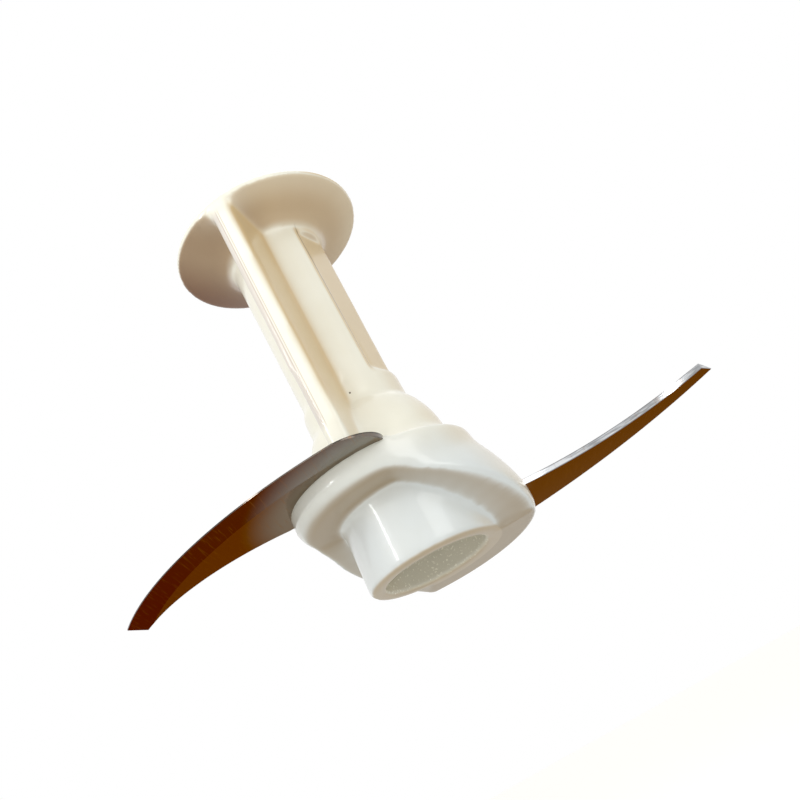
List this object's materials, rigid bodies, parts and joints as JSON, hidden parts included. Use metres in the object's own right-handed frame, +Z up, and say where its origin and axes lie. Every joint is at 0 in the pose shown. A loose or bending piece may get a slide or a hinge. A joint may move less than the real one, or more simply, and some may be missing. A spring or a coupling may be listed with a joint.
{
  "type": "food processor blade",
  "caption": "Moulded hub with a winged stem, a round grip disc and a drive boss, carrying sickle-shaped steel blades at different heights.",
  "frame": {"origin": "on the spin axis, in the plane of the drive boss's mouth, which is the bottom of the part", "axes": "+Z up the stem along the spin axis towards the grip disc, +X to the right in the picture, +Y away from the camera"},
  "size_m": [0.1684, 0.0728, 0.1156],
  "materials": {
    "hub": "glossy moulded plastic",
    "blades": "polished stainless steel"
  },
  "bodies": {
    "root": {"hub": "hub", "upper_blade": "blades", "lower_blade": "blades"}
  },
  "joints": []
}
